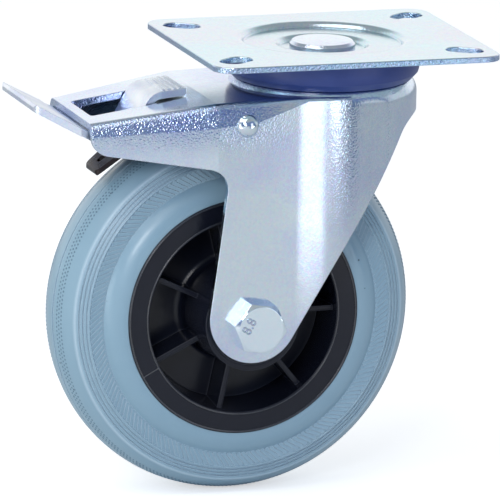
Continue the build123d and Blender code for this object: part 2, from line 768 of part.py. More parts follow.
with BuildPart() as brake_pedal:
    with BuildSketch(Plane.XZ):
        with BuildLine():
            knee_bend = CenterArc(knee_centre, knee_radius, 270 - pedal_slope, pedal_slope + riser_angle)
            hood_bend = CenterArc(hood_centre, hood_radius, 90 + riser_angle, tongue_slope - riser_angle)
            Line(foot_start, knee_bend @ 0)
            Line(knee_bend @ 1, hood_bend @ 0)
            Line(hood_bend @ 1, tongue_end)
        trace(line_width=pedal_thickness)
    extrude(amount=pedal_wing_half_width, both=True)
    fillet(brake_pedal.edges().filter_by(Axis.Y).group_by(Axis.X)[-1], half_sheet * 0.8)
    # plan outline: wings, neck between the canopy's sides, riser and tongue
    with BuildSketch(Plane.XY) as pedal_plan:
        Polygon(
            *[
                (x, side * half_width)
                for side in (-1, 1)
                for x, half_width in [
                    (-pedal_reach, pedal_end_half_width),
                    (pedal_wing_x, pedal_wing_half_width),
                    (pedal_wing_x, neck_half_width),
                    (neck_end_x, neck_half_width),
                    (neck_end_x + neck_taper, riser_half_width),
                    (hood_centre[0] - hood_radius, riser_half_width),
                    (hood_centre[0], tongue_half_width),
                    (tongue_end[0] + 1, tongue_half_width),
                ][::-side]
            ],
            align=None,
        )
        fillet(pedal_plan.vertices().group_by(Axis.X)[0], pedal_corner_radius)
    extrude(amount=-60, mode=Mode.INTERSECT)
    # grip ridges across the tongue
    with BuildSketch(tongue_plane.offset(half_sheet)):
        with Locations(*[((index + 0.9) * ridge_pitch, 0) for index in range(ridge_count)]):
            Rectangle(ridge_width, 2 * tongue_half_width - 2)
    extrude(amount=ridge_height)
save(brake_pedal, "brake_pedal")

# ------------------------------------------------------------------ brake leaf
# Spring-steel leaf with a rolled eye on the cross pin, arched over the tyre under the knee.
eye_radius = brake_pin_radius + pin_clearance
eye_angle = degrees(asin(brake_pin_trail / leaf_radius))
leaf_start = eye_angle + degrees((eye_radius + leaf_thickness / 2) / leaf_radius)
tail_start = polar((axle_x, axle_z), leaf_radius, 90 + leaf_arc_end)
tail_end = polar(tail_start, leaf_tail_length, 180 + leaf_arc_end)
tail_plane = Plane(
    origin=(tail_end[0], 0, tail_end[1]),
    x_dir=(cos(radians(leaf_arc_end)), 0, sin(radians(leaf_arc_end))),
    z_dir=(-sin(radians(leaf_arc_end)), 0, cos(radians(leaf_arc_end))),
)

with BuildPart() as brake_leaf:
    with BuildSketch(Plane.XZ):
        with BuildLine():
            CenterArc((axle_x, axle_z), leaf_radius, 90 + leaf_start, leaf_arc_end - leaf_start)
            Line(tail_start, tail_end)
        trace(line_width=leaf_thickness)
    extrude(amount=leaf_root_half_width, both=True)
    with BuildSketch(Plane.XY) as leaf_plan:
        Polygon(
            (brake_pin_x, -leaf_root_half_width),
            (brake_pin_x, leaf_root_half_width),
            (tail_end[0], leaf_end_half_width),
            (tail_end[0], -leaf_end_half_width),
            align=None,
        )
        fillet(leaf_plan.vertices().group_by(Axis.X)[0], leaf_end_round)
    extrude(amount=-60, mode=Mode.INTERSECT)
    with BuildSketch(tail_plane):
        with Locations((leaf_slot_margin + leaf_slot_length / 2, 0)):
            SlotOverall(leaf_slot_length, leaf_slot_width)
    extrude(amount=leaf_thickness, both=True, mode=Mode.SUBTRACT)
    with BuildSketch(Plane.XZ):
        with Locations((brake_pin_x, brake_pin_z)):
            Circle(eye_radius + leaf_thickness)
    extrude(amount=leg_inner_y - side_band_run - moving_gap, both=True)
    with BuildSketch(Plane.XZ):
        with Locations((brake_pin_x, brake_pin_z)):
            Circle(eye_radius)
    extrude(amount=leg_inner_y, both=True, mode=Mode.SUBTRACT)
save(brake_leaf, "brake_leaf")
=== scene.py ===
import math

import bpy
from mathutils import Matrix, Vector


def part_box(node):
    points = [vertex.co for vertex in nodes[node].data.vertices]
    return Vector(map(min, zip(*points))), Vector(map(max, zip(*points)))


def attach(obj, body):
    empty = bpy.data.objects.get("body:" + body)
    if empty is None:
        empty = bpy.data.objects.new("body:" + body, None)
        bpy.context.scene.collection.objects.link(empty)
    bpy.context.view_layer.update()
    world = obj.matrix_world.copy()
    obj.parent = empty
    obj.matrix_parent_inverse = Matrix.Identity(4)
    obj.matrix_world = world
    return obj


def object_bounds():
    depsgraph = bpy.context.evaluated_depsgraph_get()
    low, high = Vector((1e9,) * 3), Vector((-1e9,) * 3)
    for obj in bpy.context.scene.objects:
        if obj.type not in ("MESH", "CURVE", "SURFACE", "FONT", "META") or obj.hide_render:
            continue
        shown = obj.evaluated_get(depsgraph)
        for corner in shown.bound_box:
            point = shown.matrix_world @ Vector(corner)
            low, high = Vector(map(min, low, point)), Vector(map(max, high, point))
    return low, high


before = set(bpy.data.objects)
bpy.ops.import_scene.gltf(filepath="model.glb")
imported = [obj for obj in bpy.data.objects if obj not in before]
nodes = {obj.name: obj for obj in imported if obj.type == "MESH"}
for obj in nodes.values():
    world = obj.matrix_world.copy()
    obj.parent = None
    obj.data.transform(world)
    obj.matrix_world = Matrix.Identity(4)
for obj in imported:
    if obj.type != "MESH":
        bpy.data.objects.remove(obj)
solid_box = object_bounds()
bpy.ops.object.select_all(action="DESELECT")

# ---------------------------------------------------------------- camera
# A long lens a little above the top plate, turned to the castor's left front, so that
# the near fork leg, the wheel's face and the brake canopy all show.
turn = math.radians(18.19)
climb = math.radians(12.79)
tilt = math.radians(-1.16)
lens_distance = 2.78028
lens_length = 594.5
sensor_width = 36
view_depth = 20
aim_height = -0.05249
aim_right = -0.02326
aim_down = 0.02001

forward = Vector((math.sin(turn) * math.cos(climb), math.cos(turn) * math.cos(climb), -math.sin(climb)))
level = Vector((math.cos(turn), -math.sin(turn), 0))
plumb = forward.cross(level)
right = math.cos(tilt) * level + math.sin(tilt) * plumb
down = math.cos(tilt) * plumb - math.sin(tilt) * level
aim = Vector((0, 0, aim_height)) + aim_right * right + aim_down * down
axes = Matrix((right, -down, -forward)).transposed().to_4x4()

camera_data = bpy.data.cameras.new("camera")
camera_data.sensor_width = sensor_width
camera_data.lens = lens_length
camera_data.clip_end = view_depth
camera = bpy.data.objects.new("camera", camera_data)
camera.matrix_world = Matrix.Translation(aim - lens_distance * forward) @ axes
bpy.context.scene.collection.objects.link(camera)
bpy.context.scene.camera = camera

# ---------------------------------------------------------------- floor
# A white paper sweep under the wheel. It looks plain white to the lens and through clear
# things, and still takes the castor's soft shadow.
sweep_width = 6
paper_colour = (0.82, 0.83, 0.84, 1)
paper_lift = 0.57


def add_node(tree, kind, inputs=None, **options):
    """Add a shader node; each input is a value or the socket that feeds it."""
    made = tree.nodes.new("ShaderNode" + kind)
    for name, value in options.items():
        setattr(made, name, value)
    for socket, value in (inputs or {}).items():
        if isinstance(value, bpy.types.NodeSocket):
            tree.links.new(value, made.inputs[socket])
        else:
            made.inputs[socket].default_value = value
    return made


def product(tree, first, second):
    """Multiply two values: of two masks, what both cover."""
    return add_node(tree, "Math", {0: first, 1: second}, operation="MULTIPLY").outputs[0]


def stronger(tree, first, second):
    """Take the higher of two values: of two masks, what either covers."""
    return add_node(tree, "Math", {0: first, 1: second}, operation="MAXIMUM").outputs[0]


def new_material(name):
    """Add a material, and return it with its node tree and its surface shader."""
    material = bpy.data.materials.new(name)
    material.use_nodes = True
    return material, material.node_tree, material.node_tree.nodes["Principled BSDF"]


def white_sweep():
    """Make matt paper that is lifted to white for the lens alone."""
    material, tree, paper = new_material("white_sweep")
    paper.inputs["Base Color"].default_value = paper_colour
    paper.inputs["Roughness"].default_value = 0.9
    paper.inputs["Specular IOR Level"].default_value = 0.1
    paper.inputs["Emission Color"].default_value = (1, 1, 1, 1)
    rays = add_node(tree, "LightPath").outputs
    seen = stronger(tree, rays["Is Camera Ray"], rays["Is Transmission Ray"])
    tree.links.new(product(tree, seen, paper_lift), paper.inputs["Emission Strength"])
    return material


bpy.ops.mesh.primitive_grid_add(
    x_subdivisions=8, y_subdivisions=8, size=sweep_width, location=(0, 0, solid_box[0].z)
)
floor = bpy.context.object
floor.name = "floor"
floor.data.materials.append(white_sweep())

# ---------------------------------------------------------------- studio room
# Pale walls and ceiling, with the dark end of the room behind the lens. The bright plating
# mirrors both, which gives it its blue and white patches.
wall_white = (0.86, 0.91, 0.96, 1)
ceiling_grey = (0.50, 0.53, 0.55, 1)
dark_end_blue = (0.22, 0.30, 0.53, 1)
room_strength = 0.80
backdrop_strength = 1.1


def ramp(tree, value, start, end, highest=1.0, smooth=False):
    """Mask that goes from 0 where a value is at start to its highest where it is at end."""
    limits = {"Value": value, "From Min": start, "From Max": end, "To Max": highest}
    curve = "SMOOTHSTEP" if smooth else "LINEAR"
    return add_node(tree, "MapRange", limits, interpolation_type=curve).outputs[0]


def blend(tree, mask, under, over, how="MIX"):
    """Lay one colour over another where the mask is high."""
    layers = {"Factor": mask, "A": under, "B": over}
    return add_node(tree, "Mix", layers, data_type="RGBA", blend_type=how).outputs["Result"]


world = bpy.data.worlds.new("studio")
bpy.context.scene.world = world
world.use_nodes = True
sky = world.node_tree
heading = add_node(sky, "TexCoord").outputs["Generated"]
direction = add_node(sky, "SeparateXYZ", {0: heading}).outputs

towards_lens = ramp(sky, direction["Y"], start=-0.2, end=-0.6, smooth=True)
under_ceiling = ramp(sky, direction["Z"], start=0.62, end=0.48, smooth=True)
overhead = ramp(sky, direction["Z"], start=0.3, end=0.7, smooth=True)
dark_end = product(sky, towards_lens, under_ceiling)
ceiling = blend(sky, overhead, wall_white, ceiling_grey)
wall = blend(sky, dark_end, ceiling, dark_end_blue)
room = sky.nodes["Background"]
sky.links.new(wall, room.inputs["Color"])
room.inputs["Strength"].default_value = room_strength

far_wall = ramp(sky, direction["Y"], start=0.2, end=0.6, smooth=True)
below_lamps = ramp(sky, direction["Z"], start=0.65, end=0.35, smooth=True)
behind = product(sky, far_wall, below_lamps)
eye = add_node(sky, "LightPath").outputs
mirrored = product(sky, behind, eye["Is Glossy Ray"])
plain = stronger(sky, mirrored, eye["Is Camera Ray"])
backdrop = add_node(sky, "Background", {"Color": (1, 1, 1, 1), "Strength": backdrop_strength})
surroundings = add_node(sky, "MixShader", {0: plain, 1: room.outputs[0], 2: backdrop.outputs[0]})
sky.links.new(surroundings.outputs[0], sky.nodes["World Output"].inputs["Surface"])

# ---------------------------------------------------------------- lamps
# A large soft box overhead and a small one to the left light the castor. The strip and cards
# show in gloss only: the strip draws the bright upright band on the fork leg, and the cards
# brighten the faces that mirror them.
castor_middle = (-0.03, 0, -0.08)


def softbox(name, place, target, width, height, power, gloss_only=False):
    """Add a rectangular lamp that faces a target."""
    lamp_data = bpy.data.lights.new(name, "AREA")
    lamp_data.shape = "RECTANGLE"
    lamp_data.size = width
    lamp_data.size_y = height
    lamp_data.energy = power
    lamp = bpy.data.objects.new(name, lamp_data)
    lamp.location = place
    lamp.rotation_euler = (Vector(target) - Vector(place)).to_track_quat("-Z", "Y").to_euler()
    lamp.visible_camera = False
    lamp.visible_diffuse = not gloss_only
    bpy.context.scene.collection.objects.link(lamp)


def gloss_card(name, place, target, width, height, power):
    """Add a lamp that shows only where it is mirrored."""
    softbox(name, place, target, width, height, power, gloss_only=True)


softbox(
    "top_lamp", place=(-0.50, -0.30, 0.75), target=castor_middle, width=0.9, height=0.9, power=4.0
)
softbox(
    "left_lamp", place=(-0.60, -0.95, 0.36), target=castor_middle, width=0.26, height=0.26, power=3.0
)
gloss_card(
    "strip_lamp",
    place=(0.165, -0.33, -0.05),
    target=(-0.005, -0.03, -0.06),
    width=0.125,
    height=0.30,
    power=0.12,
)
gloss_card(
    "front_card",
    place=(-0.40, -0.98, 0.08),
    target=(-0.03, 0, -0.09),
    width=0.25,
    height=0.25,
    power=0.30,
)
gloss_card(
    "side_card",
    place=(-0.52, -0.19, -0.06),
    target=(-0.05, -0.03, -0.08),
    width=0.10,
    height=0.16,
    power=0.20,
)
gloss_card(
    "floor_card",
    place=(-0.37, -0.20, -0.150),
    target=(-0.37, -0.20, 1.0),
    width=0.16,
    height=0.16,
    power=0.19,
)
gloss_card(
    "low_card",
    place=(0.42, -0.42, -0.10),
    target=(-0.03, -0.02, -0.09),
    width=0.06,
    height=0.06,
    power=0.06,
)

# ---------------------------------------------------------------- dark flag
# A sheet of blue-grey cloth that stands at the castor's right front. The lens doesn't see
# it: only bright faces mirror it, as the dark patch on the fork leg.
flag_width = 0.11
flag_height = 0.17
flag_turn = math.radians(58)
flag_place = (0.34, -0.23, -0.024)

bpy.ops.mesh.primitive_plane_add(size=1)
flag = bpy.context.object
flag.name = "dark_flag"
flag.scale = (flag_width, flag_height, 1)
flag.rotation_euler = (math.pi / 2, 0, flag_turn)
flag.location = flag_place
bpy.ops.object.transform_apply(location=True, rotation=True, scale=True)
flag.visible_camera = False
flag.visible_diffuse = False
flag.visible_shadow = False
flag_cloth, _, cloth = new_material("flag_cloth")
cloth.inputs["Base Color"].default_value = (0.13, 0.20, 0.34, 1)
cloth.inputs["Roughness"].default_value = 1.0
cloth.inputs["Specular IOR Level"].default_value = 0.0
flag.data.materials.append(flag_cloth)
bpy.ops.object.select_all(action="DESELECT")

# ---------------------------------------------------------------- top plate
# Two-millimetre sheet steel, punched, dished for the balls and then zinc plated with a
# blue passivate. The plating shows a fine crystal grain and pale clouds of tint, and lies
# coarser on the sheared edges, which are also painted darker and bluer as a painted reflection.
blue_passivate = (0.72, 0.81, 0.87, 1)
violet_tint = (0.62, 0.68, 0.86, 1)
plate_teal = (0.58, 0.74, 0.80, 1)
plate_tint = (0.66, 0.70, 0.78, 1)
side_reflection_blue = (0.66, 0.74, 0.90, 1)
flake_strength = 0.22


def new_group(name, inputs, outputs):
    """Add a shader group with its named sockets, and return it with the sockets' inner ends."""
    group = bpy.data.node_groups.new(name, "ShaderNodeTree")
    for label, kind, start in inputs:
        socket = group.interface.new_socket(name=label, in_out="INPUT", socket_type="NodeSocket" + kind)
        socket.default_value = start
    for label, kind in outputs:
        group.interface.new_socket(name=label, in_out="OUTPUT", socket_type="NodeSocket" + kind)
    into = group.nodes.new("NodeGroupInput").outputs
    out = group.nodes.new("NodeGroupOutput").inputs
    return group, into, out


def add_share(tree, value, share, base):
    """Add a share of one value to another."""
    return add_node(tree, "Math", {0: value, 1: share, 2: base}, operation="MULTIPLY_ADD").outputs[0]


def plated_grain():
    """Shader group: crystal grain, orange peel and tint clouds of zinc plating."""
    group, into, out = new_group(
        "plated_grain",
        inputs=(
            ("Zinc", "Color", blue_passivate),
            ("Tint", "Color", violet_tint),
            ("Dullness", "Float", 0.08),
        ),
        outputs=(("Colour", "Color"), ("Roughness", "Float"), ("Height", "Float")),
    )
    place = add_node(group, "TexCoord").outputs["Object"]
    clouds = add_node(group, "TexNoise", {"Vector": place, "Scale": 34, "Detail": 5, "Distortion": 0.6})
    grain = add_node(group, "TexNoise", {"Vector": place, "Scale": 1900, "Detail": 1})
    crystals = add_node(group, "TexVoronoi", {"Vector": place, "Scale": 1500})
    peel = add_node(group, "TexNoise", {"Vector": place, "Scale": 520, "Detail": 2})
    cloud = ramp(group, clouds.outputs["Fac"], start=0.38, end=0.66)
    tinted = blend(group, cloud, into["Zinc"], into["Tint"])
    flaked = blend(group, flake_strength, tinted, crystals.outputs["Color"], how="SOFT_LIGHT")
    patchy = add_share(group, clouds.outputs["Fac"], share=0.12, base=into["Dullness"])
    fine = add_share(group, grain.outputs["Fac"], share=1.4, base=crystals.outputs["Distance"])
    height = add_share(group, peel.outputs["Fac"], share=0.6, base=fine)
    group.links.new(flaked, out["Colour"])
    group.links.new(patchy, out["Roughness"])
    group.links.new(height, out["Height"])
    return group


grain_group = plated_grain()


def relief_normal(tree, height, strength, distance, edge):
    """Surface normal of a height pattern, over edges rounded to a radius."""
    soft_edge = add_node(tree, "Bevel", {"Radius": edge}, samples=4).outputs[0]
    pattern = {"Strength": strength, "Distance": distance, "Height": height, "Normal": soft_edge}
    return add_node(tree, "Bump", pattern).outputs[0]


def zinc_finish(name, zinc=blue_passivate, tint=violet_tint, dullness=0.08, relief=0.35, edge=0.0003):
    """Make a zinc-plated finish: the shared grain over softly rounded sheet edges."""
    material, tree, metal = new_material(name)
    metal.inputs["Metallic"].default_value = 1.0
    own_values = {"Zinc": zinc, "Tint": tint, "Dullness": dullness}
    plating = add_node(tree, "Group", own_values, node_tree=grain_group).outputs
    normal = relief_normal(tree, plating["Height"], strength=relief, distance=0.0002, edge=edge)
    tree.links.new(plating["Colour"], metal.inputs["Base Color"])
    tree.links.new(plating["Roughness"], metal.inputs["Roughness"])
    tree.links.new(normal, metal.inputs["Normal"])
    return material


def coarsen_and_paint_reflection(material, mask, reflection_shade, relief):
    """Roughen a zinc finish, and darken it with a painted reflection colour, where the mask is high."""
    tree = material.node_tree
    bump = tree.nodes["Bump"]
    fine_relief = bump.inputs["Strength"].default_value
    reflection_painted = blend(tree, mask, tree.nodes["Group"].outputs["Colour"], reflection_shade, how="MULTIPLY")
    rise = add_node(tree, "MapRange", {"Value": mask, "To Min": fine_relief, "To Max": relief})
    tree.links.new(reflection_painted, tree.nodes["Principled BSDF"].inputs["Base Color"])
    tree.links.new(rise.outputs[0], bump.inputs["Strength"])


def facing(tree, axis):
    """How squarely a surface faces along an axis, either way: 0 not at all, 1 fully."""
    normal = add_node(tree, "NewGeometry").outputs["Normal"]
    along = add_node(tree, "SeparateXYZ", {0: normal}).outputs[axis]
    return add_node(tree, "Math", {0: along}, operation="ABSOLUTE").outputs[0]


def plate_finish():
    """Make the plate's plating, coarser on the sheared edges and painted bluer there as a painted
    reflection.
    """
    plate_zinc = zinc_finish("plate_zinc", zinc=plate_teal, tint=plate_tint, dullness=0.10, relief=0.06)
    tree = plate_zinc.node_tree
    sheared_and_reflection = ramp(tree, facing(tree, "Z"), start=0.6, end=0.3)
    # Faces that don't face up or down get a painted bluish reflection and a coarser relief.
    coarsen_and_paint_reflection(plate_zinc, sheared_and_reflection, side_reflection_blue, relief=0.5)
    return plate_zinc


def wear(node, material):
    """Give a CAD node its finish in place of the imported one."""
    nodes[node].data.materials.clear()
    nodes[node].data.materials.append(material)


wear("top_plate", plate_finish())

# ---------------------------------------------------------------- kingpin
# Cold-headed steel pin through the middle of the plate, which clamps the swivel bearing.
# The heading die leaves it smoother than the sheet, and the zinc plating on it too.
wear("kingpin", zinc_finish("kingpin_zinc", relief=0.15))

# ---------------------------------------------------------------- swivel bearing
# Two rings of hardened steel balls, between the plate and the crown and between the crown
# and the lower race. The race is a cup turned up from sheet and zinc plated.
ball_grey = (0.62, 0.62, 0.63, 1)
ball_shade = (0.55, 0.55, 0.56, 1)
ball_steel = zinc_finish("ball_steel", zinc=ball_grey, tint=ball_shade, dullness=0.03, relief=0.02)
wear("lower_race", zinc_finish("race_zinc"))
wear("upper_balls", ball_steel)
wear("lower_balls", ball_steel)

# ---------------------------------------------------------------- dust seal
# Moulded ring of dark blue plastic that closes the upper ball track. Turning marks from
# its mould run round it, and a highlight is painted paler on its edges.
seal_dark = (0.02, 0.045, 0.21, 1)
seal_pale = (0.035, 0.07, 0.28, 1)


def painted_highlight_edges():
    """Shader group: 0 on open faces, rising to 1 on rounded edges, where highlights are painted."""
    group, into, out = new_group(
        "painted_highlight_edges", inputs=(("Radius", "Float", 0.0005),), outputs=(("Mask", "Float"),)
    )
    rounded = add_node(group, "Bevel", {"Radius": into["Radius"]}, samples=6).outputs[0]
    flat = add_node(group, "NewGeometry").outputs["Normal"]
    match = add_node(group, "VectorMath", {0: rounded, 1: flat}, operation="DOT_PRODUCT")
    group.links.new(ramp(group, match.outputs["Value"], start=0.995, end=0.85), out["Mask"])
    return group


edge_highlight_group = painted_highlight_edges()


def moulded_plastic(
    name, dark, pale, roughness, relief=0.1, rings=0.0, edge=0.0003, gloss_level=0.5, edge_highlight_colour=None
):
    """Make a moulded plastic: flow clouds, fine skin, a painted highlight on its edges and, if asked,
    turned rings.
    """
    material, tree, plastic = new_material(name)
    plastic.inputs["Specular IOR Level"].default_value = gloss_level
    place = add_node(tree, "TexCoord").outputs["Object"]
    flow = add_node(tree, "TexNoise", {"Vector": place, "Scale": 60, "Detail": 4, "Distortion": 1.5})
    skin = add_node(tree, "TexNoise", {"Vector": place, "Scale": 900, "Detail": 2}).outputs["Fac"]
    turned = add_node(tree, "TexWave", {"Vector": place, "Scale": 330}, bands_direction="Z")
    edge_highlight = add_node(tree, "Group", node_tree=edge_highlight_group)
    clouded = blend(tree, flow.outputs["Fac"], dark, pale)
    # Edges, hollow and standing alike, are painted paler: a painted highlight.
    edge_highlighted = blend(tree, edge_highlight.outputs["Mask"], clouded, edge_highlight_colour or pale)
    skin_share = 0.12
    gloss = add_share(tree, skin, share=skin_share, base=roughness - skin_share / 2)
    height = add_share(tree, turned.outputs["Fac"], share=rings, base=skin)
    normal = relief_normal(tree, height, strength=relief, distance=0.0001, edge=edge)
    tree.links.new(edge_highlighted, plastic.inputs["Base Color"])
    tree.links.new(gloss, plastic.inputs["Roughness"])
    tree.links.new(normal, plastic.inputs["Normal"])
    return material


wear("dust_seal", moulded_plastic("seal_blue", seal_dark, seal_pale, roughness=0.38, rings=0.6))

# ---------------------------------------------------------------- swivel fork
# One pressing of crown, legs and brake canopy, zinc plated after it is formed. The plating
# is coarser where the sheet was drawn, on the canopy's skirt and the upper leg, and blue flecks
# painted there are a painted reflection of the room's dark end.
# Each leg bends gently under the crown, which shows in how it shines.
reflection_fleck_blue = (0.50, 0.58, 0.80, 1)
# Heights and reaches, each from where an area starts to show to where it shows in full.
skirt_rise = (-0.036, -0.018)
skirt_reach = (-0.014, -0.038)
flecked_rise = (-0.075, -0.040)
flecked_reach = (-0.012, 0.0)
bend_reach = (-0.019, 0.010)
bend_lean = 0.55


def fork_plating():
    """Make the fork's plating: coarse drawn areas with painted reflection flecks, and the gentle bend of
    its legs.
    """
    fork_zinc = zinc_finish("fork_zinc", dullness=0.10, relief=0.02, edge=0.0005)
    tree = fork_zinc.node_tree
    place = add_node(tree, "TexCoord").outputs["Object"]
    where = add_node(tree, "SeparateXYZ", {0: place}).outputs
    normal = add_node(tree, "NewGeometry").outputs["Normal"]
    upward = add_node(tree, "SeparateXYZ", {0: normal}).outputs["Z"]

    high_up = ramp(tree, where["Z"], *skirt_rise, smooth=True)
    under_canopy = ramp(tree, where["X"], *skirt_reach, smooth=True)
    off_top = ramp(tree, upward, start=0.97, end=0.85)
    skirt = product(tree, product(tree, high_up, under_canopy), off_top)
    upper_leg = ramp(tree, where["Z"], *flecked_rise, highest=0.35, smooth=True)
    under_crown = ramp(tree, where["X"], *flecked_reach)
    drawn_and_reflection = stronger(tree, skirt, product(tree, upper_leg, under_crown))
    # Blue flecks on these areas are a painted reflection of the room's dark end.
    reflection_fleck_noise = add_node(tree, "TexNoise", {"Vector": place, "Scale": 2700})
    reflection_fleck = ramp(tree, reflection_fleck_noise.outputs["Fac"], start=0.40, end=0.66)
    painted_reflection_flecks = blend(tree, reflection_fleck, reflection_fleck_blue, (1, 1, 1, 1))
    coarsen_and_paint_reflection(fork_zinc, drawn_and_reflection, painted_reflection_flecks, relief=0.42)

    bend = ramp(tree, where["X"], *bend_reach, highest=bend_lean)
    on_leg = ramp(tree, facing(tree, "Y"), start=0.90, end=0.98)
    sideways = add_node(tree, "CombineXYZ", {0: product(tree, bend, on_leg)}).outputs[0]
    soft_edge = tree.nodes["Bevel"].outputs[0]
    leaning = add_node(tree, "VectorMath", {0: soft_edge, 1: sideways}, operation="ADD").outputs[0]
    bent = add_node(tree, "VectorMath", {0: leaning}, operation="NORMALIZE").outputs[0]
    tree.links.new(bent, tree.nodes["Bump"].inputs["Normal"])
    return fork_zinc


wear("swivel_fork", fork_plating())

# ---------------------------------------------------------------- axle
# Hexagon bolt through both legs and the hub, with a washer and a lock nut at the far leg.
# A steel sleeve between the legs takes the clamp load. All four are bright zinc plated.
bright_zinc = (0.82, 0.93, 0.98, 1)
bright_tint = (0.80, 0.89, 0.97, 1)
sleeve_low, sleeve_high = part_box("axle_sleeve")
axle_x = (sleeve_low.x + sleeve_high.x) / 2
axle_z = (sleeve_low.z + sleeve_high.z) / 2
axle_zinc = zinc_finish("axle_zinc", zinc=bright_zinc, tint=bright_tint, relief=0.04)
for piece in ("axle_bolt", "axle_washer", "axle_nut", "axle_sleeve"):
    wear(piece, axle_zinc)

# ---------------------------------------------------------------- bolt grade
# The bolt's strength grade in digits that the heading die raises on its head. They are
# plated with the bolt, duller than its head, and painted darker as painted shade.
grade_height = 0.0046
grade_relief = 0.00025
grade_rounding = 0.00004
grade_turn = math.radians(62)
grade_left = 0.0042
grade_up = 0.0012
# Darker zinc for the digits: painted shade, so that they stand out.
grade_shaded_zinc = zinc_finish(
    "grade_shaded_zinc", zinc=(0.48, 0.56, 0.66, 1), tint=(0.42, 0.50, 0.62, 1), dullness=0.2, relief=0.1
)
head_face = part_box("axle_bolt")[0].y


def face_outwards():
    """Turn every face of the mesh being edited outwards, and leave edit mode."""
    bpy.ops.mesh.select_all(action="SELECT")
    bpy.ops.mesh.normals_make_consistent(inside=False)
    bpy.ops.object.mode_set(mode="OBJECT")


bpy.ops.object.text_add()
grade = bpy.context.object
grade.name = "bolt_grade"
grade.data.body = "8.8"
grade.data.size = grade_height
grade.data.extrude = grade_relief
grade.data.bevel_depth = grade_rounding
grade.data.align_x = "CENTER"
grade.data.align_y = "CENTER"
bpy.ops.object.convert(target="MESH")
grade = bpy.context.object
along = Vector((math.cos(grade_turn), 0, math.sin(grade_turn)))
upwards = Vector((-math.sin(grade_turn), 0, math.cos(grade_turn)))
upright = Matrix((along, upwards, Vector((0, -1, 0)))).transposed().to_4x4()
grade_place = Matrix.Translation((axle_x - grade_left, head_face, axle_z + grade_up))
grade.matrix_world = grade_place @ upright
bpy.ops.object.transform_apply(location=True, rotation=True, scale=True)
bpy.ops.object.mode_set(mode="EDIT")
bpy.ops.mesh.select_all(action="SELECT")
bpy.ops.mesh.remove_doubles(threshold=0.000001)
face_outwards()
grade.data.materials.append(grade_shaded_zinc)
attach(grade, "fork")
bpy.ops.object.select_all(action="DESELECT")

# ---------------------------------------------------------------- bolt thread
# The last turns of the bolt's rolled thread, which stand out of the lock nut. They are a
# three-sided ridge wound round the shank and closed at both ends.
thread_pitch = 0.0015
thread_ridge = 0.0005
thread_radius = 0.0049
thread_turns = 2
thread_steps = 36
nut_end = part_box("axle_nut")[1].y

bpy.ops.mesh.primitive_circle_add(
    vertices=3,
    radius=thread_ridge,
    location=(thread_radius, 0, 0),
    rotation=(math.pi / 2, math.pi / 2, 0),
)
thread = bpy.context.object
thread.name = "bolt_thread"
bpy.ops.object.transform_apply(location=True, rotation=True, scale=True)
winding = thread.modifiers.new("winding", "SCREW")
winding.axis = "Z"
winding.angle = 2 * math.pi
winding.screw_offset = thread_pitch
winding.iterations = thread_turns
winding.steps = thread_steps
winding.render_steps = thread_steps
bpy.ops.object.modifier_apply(modifier="winding")
thread.rotation_euler = (-math.pi / 2, 0, 0)
thread.location = (axle_x, nut_end, axle_z)
bpy.ops.object.transform_apply(location=True, rotation=True, scale=True)
bpy.ops.object.mode_set(mode="EDIT")
bpy.ops.mesh.select_all(action="SELECT")
bpy.ops.mesh.fill_holes(sides=3)
face_outwards()
thread.data.materials.append(axle_zinc)
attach(thread, "fork")
bpy.ops.object.select_all(action="DESELECT")

# ---------------------------------------------------------------- lock nut ring
# Blue nylon ring that is pressed in the lock nut's collar and grips the thread. It stands
# a little out of the collar, flattened by the closed lip.
lock_ring_radius = 0.0058
lock_ring_thick = 0.0006
lock_ring_flatten = 0.8
nylon_dark = (0.10, 0.22, 0.42, 1)
nylon_pale = (0.16, 0.30, 0.52, 1)

bpy.ops.mesh.primitive_torus_add(
    major_segments=64, minor_segments=12, major_radius=lock_ring_radius, minor_radius=lock_ring_thick
)
lock_ring = bpy.context.object
lock_ring.name = "nut_lock_ring"
bpy.ops.object.mode_set(mode="EDIT")
bpy.ops.mesh.select_all(action="SELECT")
bpy.ops.transform.resize(value=(1, 1, lock_ring_flatten), center_override=(0, 0, 0))
bpy.ops.transform.rotate(value=-math.pi / 2, orient_axis="X", center_override=(0, 0, 0))
bpy.ops.transform.translate(value=(axle_x, nut_end, axle_z))
face_outwards()
lock_ring.data.materials.append(
    moulded_plastic("lock_ring_nylon", nylon_dark, nylon_pale, roughness=0.4)
)
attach(lock_ring, "fork")
bpy.ops.object.select_all(action="DESELECT")

# ---------------------------------------------------------------- roller bearing
# Hardened steel rollers that run on the sleeve, held apart by a cage moulded in natural
# nylon. A black cap in each end of the hub keeps them in.
cage_dark = (0.60, 0.57, 0.48, 1)
cage_pale = (0.68, 0.66, 0.58, 1)
wear("bearing_cage", moulded_plastic("cage_nylon", cage_dark, cage_pale, roughness=0.45))
wear("bearing_rollers", ball_steel)

# ---------------------------------------------------------------- wheel centre
# One black polypropylene moulding of rim, dished web, hub and ribs, with a satin skin.
# The caps in its hub are moulded in the same plastic.
# Its edges get a painted highlight in a paler black.
rim_black = moulded_plastic(
    "rim_black",
    dark=(0.006, 0.008, 0.016, 1),
    pale=(0.010, 0.012, 0.022, 1),
    roughness=0.22,
    relief=0.12,
    edge=0.001,
    gloss_level=0.36,
    edge_highlight_colour=(0.035, 0.040, 0.055, 1),
)
for piece in ("wheel_rim", "hub_cap_near", "hub_cap_far"):
    wear(piece, rim_black)

# ---------------------------------------------------------------- rim beads
# Two thin round lips on each flange of the wheel centre, and the parting line that its
# mould leaves between them. They are moulded with it and rubbed glossier.
flange_face = 0.0185
bead_radii = (0.0335, 0.0396)
bead_thick = 0.0004
parting_thick = 0.00022
parting_turn = math.radians(29)
